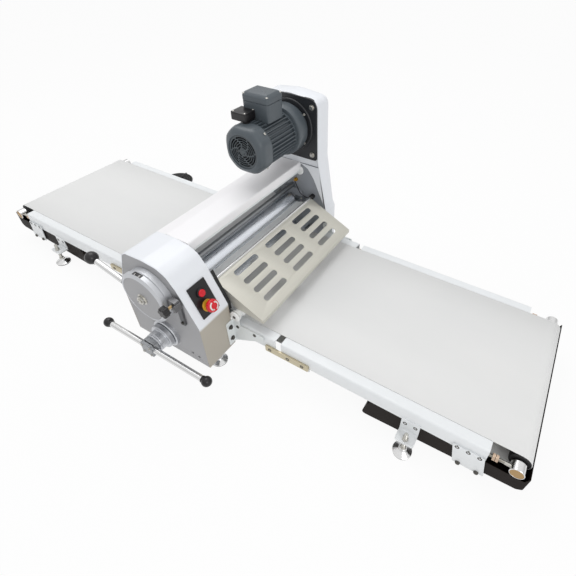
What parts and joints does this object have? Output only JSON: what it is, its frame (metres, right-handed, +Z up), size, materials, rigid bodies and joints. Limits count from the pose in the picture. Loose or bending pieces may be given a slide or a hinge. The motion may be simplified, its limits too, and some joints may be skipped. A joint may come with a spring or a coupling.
{
  "type": "dough sheeter",
  "caption": "Bench-top conveyor dough sheeter with a two-roller head, folding belt tables, slotted guards, catch trays, thickness dial, direction bar and a column motor.",
  "frame": {"origin": "bottom centre of the machine without its cord, on the plane its feet stand on", "axes": "X along the belts, Y from the operator side (controls) to the drive side (motor), Z up"},
  "size_m": [2.15, 0.99, 0.728],
  "materials": {
    "white_paint": "satin",
    "silver_paint": "satin",
    "grey_paint": "satin",
    "stainless": "brushed",
    "chrome": "polished",
    "steel": "turned",
    "belt_white": "matt",
    "black_plastic": "satin",
    "tray_black": "gloss",
    "motor_grey": "satin",
    "motor_black": "satin",
    "rubber": "matt",
    "nylon": "matt",
    "red_plastic": "gloss",
    "aluminium": "satin"
  },
  "bodies": {
    "base": {"head_frame": "grey_paint", "near_cover": "silver_paint", "near_face_plate": "grey_paint", "far_cover": "silver_paint", "column_plate": "grey_paint", "bridge_cover": "white_paint", "bridge_edge_rod": "chrome", "motor_adaptor_plate": "motor_black", "motor_end_bell": "motor_grey", "motor_body": "motor_grey", "motor_fan_cover": "motor_grey", "terminal_box": "motor_grey", "drive_belt": "rubber", "dial_ring": "aluminium", "stop_clamp": "aluminium", "control_panel": "black_plastic", "stub_frame_right": "white_paint", "stub_frame_left": "white_paint", "cord_gland": "black_plastic", "power_cord": "rubber", "cord_coil": "rubber", "cord_tail": "rubber", "power_plug": "black_plastic"},
    "rotor": {"motor_rotor": "steel"},
    "lower_roller_set": {"lower_roller": "chrome"},
    "carriage": {"carriage_near": "steel", "carriage_far": "steel", "scraper_right": "nylon", "scraper_left": "nylon"},
    "upper_roller_set": {"upper_roller": "chrome"},
    "thickness_control": {"lift_shaft": "steel", "thickness_dial": "aluminium", "thickness_lever": "chrome"},
    "clamp_knob_set": {"clamp_knob": "black_plastic"},
    "direction_control": {"selector_hub": "aluminium", "selector_bar": "chrome"},
    "start_button_set": {"start_button": "red_plastic"},
    "emergency_stop_set": {"emergency_stop": "red_plastic"},
    "guard_right_set": {"guard_right": "stainless"},
    "right_table": {"table_frame_right": "white_paint", "table_belt_right": "belt_white", "catch_tray_right": "tray_black"},
    "right_take_up_set": {"take_up_right": "steel"},
    "right_end_roller_set": {"end_roller_right": "steel"},
    "right_drive_roller_set": {"drive_roller_right": "steel"},
    "head_foot_right_near_set": {"head_foot_right_near": "chrome"},
    "table_foot_right_near_set": {"table_foot_right_near": "chrome"},
    "head_foot_right_far_set": {"head_foot_right_far": "chrome"},
    "table_foot_right_far_set": {"table_foot_right_far": "chrome"},
    "guard_left_set": {"guard_left": "stainless"},
    "left_table": {"table_frame_left": "white_paint", "table_belt_left": "belt_white", "catch_tray_left": "tray_black"},
    "left_take_up_set": {"take_up_left": "steel"},
    "left_end_roller_set": {"end_roller_left": "steel"},
    "left_drive_roller_set": {"drive_roller_left": "steel"},
    "head_foot_left_near_set": {"head_foot_left_near": "chrome"},
    "table_foot_left_near_set": {"table_foot_left_near": "chrome"},
    "head_foot_left_far_set": {"head_foot_left_far": "chrome"},
    "table_foot_left_far_set": {"table_foot_left_far": "chrome"}
  },
  "joints": [
    {"name": "lower_roller_spin", "type": "hinge", "parent": "base", "child": "lower_roller_set", "pos_m": [0, 0.0675, 0.12], "axis": [0, 1, 0], "continuous": true},
    {"name": "motor_spin", "type": "hinge", "parent": "base", "child": "rotor", "pos_m": [0.008, 0.0675, 0.571], "axis": [0, 1, 0], "continuous": true},
    {"name": "thickness_turn", "type": "hinge", "parent": "base", "child": "thickness_control", "pos_m": [0, 0.0675, 0.317], "axis": [0, 1, 0], "range_deg": [0, 140]},
    {"name": "carriage_lift", "type": "slide", "parent": "base", "child": "carriage", "axis": [0, 0, -1], "range_m": [0, 0.044]},
    {"name": "upper_roller_spin", "type": "hinge", "parent": "carriage", "child": "upper_roller_set", "pos_m": [0, 0.0675, 0.255], "axis": [0, 1, 0], "continuous": true},
    {"name": "clamp_knob_turn", "type": "hinge", "parent": "base", "child": "clamp_knob_set", "pos_m": [0.103, 0.0675, 0.333], "axis": [0, 1, 0], "range_deg": [0, 360]},
    {"name": "direction_turn", "type": "hinge", "parent": "base", "child": "direction_control", "pos_m": [0, 0.0675, 0.137], "axis": [0, 1, 0], "range_deg": [-25, 25]},
    {"name": "start_button_press", "type": "slide", "parent": "base", "child": "start_button_set", "axis": [-0.9133, 0, -0.4074], "range_m": [0, 0.003], "stiffness_N_per_m": 400},
    {"name": "emergency_stop_press", "type": "slide", "parent": "base", "child": "emergency_stop_set", "axis": [-0.9133, 0, -0.4074], "range_m": [0, 0.005]},
    {"name": "guard_right_hinge", "type": "hinge", "parent": "base", "child": "guard_right_set", "pos_m": [0.099, 0.0675, 0.297], "axis": [0, -1, 0], "range_deg": [0, 75]},
    {"name": "right_table_fold", "type": "hinge", "parent": "base", "child": "right_table", "pos_m": [0.304, 0.0675, 0.112], "axis": [0, -1, 0], "range_deg": [0, 21], "deforming": ["table_belt_right"]},
    {"name": "right_take_up_slide", "type": "slide", "parent": "right_table", "child": "right_take_up_set", "axis": [-1, 0, 0], "range_m": [0, 0.008], "deforming": ["table_belt_right"]},
    {"name": "right_end_roller_spin", "type": "hinge", "parent": "right_take_up_set", "child": "right_end_roller_set", "pos_m": [1.042, 0.0675, 0.128], "axis": [0, 1, 0], "continuous": true},
    {"name": "right_drive_roller_spin", "type": "hinge", "parent": "base", "child": "right_drive_roller_set", "pos_m": [0.074, 0.0675, 0.135], "axis": [0, 1, 0], "continuous": true},
    {"name": "head_foot_right_near_adjust", "type": "slide", "parent": "base", "child": "head_foot_right_near_set", "axis": [0, 0, -1], "range_m": [0, 0.012]},
    {"name": "table_foot_right_near_adjust", "type": "slide", "parent": "right_table", "child": "table_foot_right_near_set", "axis": [0, 0, -1], "range_m": [0, 0.012]},
    {"name": "head_foot_right_far_adjust", "type": "slide", "parent": "base", "child": "head_foot_right_far_set", "axis": [0, 0, -1], "range_m": [0, 0.012]},
    {"name": "table_foot_right_far_adjust", "type": "slide", "parent": "right_table", "child": "table_foot_right_far_set", "axis": [0, 0, -1], "range_m": [0, 0.012]},
    {"name": "guard_left_hinge", "type": "hinge", "parent": "base", "child": "guard_left_set", "pos_m": [-0.099, 0.0675, 0.297], "axis": [0, 1, 0], "range_deg": [0, 75]},
    {"name": "left_table_fold", "type": "hinge", "parent": "base", "child": "left_table", "pos_m": [-0.304, 0.0675, 0.112], "axis": [0, 1, 0], "range_deg": [0, 21], "deforming": ["table_belt_left"]},
    {"name": "left_take_up_slide", "type": "slide", "parent": "left_table", "child": "left_take_up_set", "axis": [1, 0, 0], "range_m": [0, 0.008], "deforming": ["table_belt_left"]},
    {"name": "left_end_roller_spin", "type": "hinge", "parent": "left_take_up_set", "child": "left_end_roller_set", "pos_m": [-1.042, 0.0675, 0.128], "axis": [0, 1, 0], "continuous": true},
    {"name": "left_drive_roller_spin", "type": "hinge", "parent": "base", "child": "left_drive_roller_set", "pos_m": [-0.074, 0.0675, 0.135], "axis": [0, 1, 0], "continuous": true},
    {"name": "head_foot_left_near_adjust", "type": "slide", "parent": "base", "child": "head_foot_left_near_set", "axis": [0, 0, -1], "range_m": [0, 0.012]},
    {"name": "table_foot_left_near_adjust", "type": "slide", "parent": "left_table", "child": "table_foot_left_near_set", "axis": [0, 0, -1], "range_m": [0, 0.012]},
    {"name": "head_foot_left_far_adjust", "type": "slide", "parent": "base", "child": "head_foot_left_far_set", "axis": [0, 0, -1], "range_m": [0, 0.012]},
    {"name": "table_foot_left_far_adjust", "type": "slide", "parent": "left_table", "child": "table_foot_left_far_set", "axis": [0, 0, -1], "range_m": [0, 0.012]}
  ],
  "couplings": [
    {"joint": "motor_spin", "follows": "lower_roller_spin", "ratio": 2},
    {"joint": "carriage_lift", "follows": "thickness_turn", "m_per_rad": 0.018007},
    {"joint": "upper_roller_spin", "follows": "lower_roller_spin", "ratio": -1},
    {"joint": "right_end_roller_spin", "follows": "lower_roller_spin", "ratio": 1.5517},
    {"joint": "right_drive_roller_spin", "follows": "lower_roller_spin", "ratio": 2.0455},
    {"joint": "left_end_roller_spin", "follows": "lower_roller_spin", "ratio": 1.5517},
    {"joint": "left_drive_roller_spin", "follows": "lower_roller_spin", "ratio": 2.0455}
  ]
}
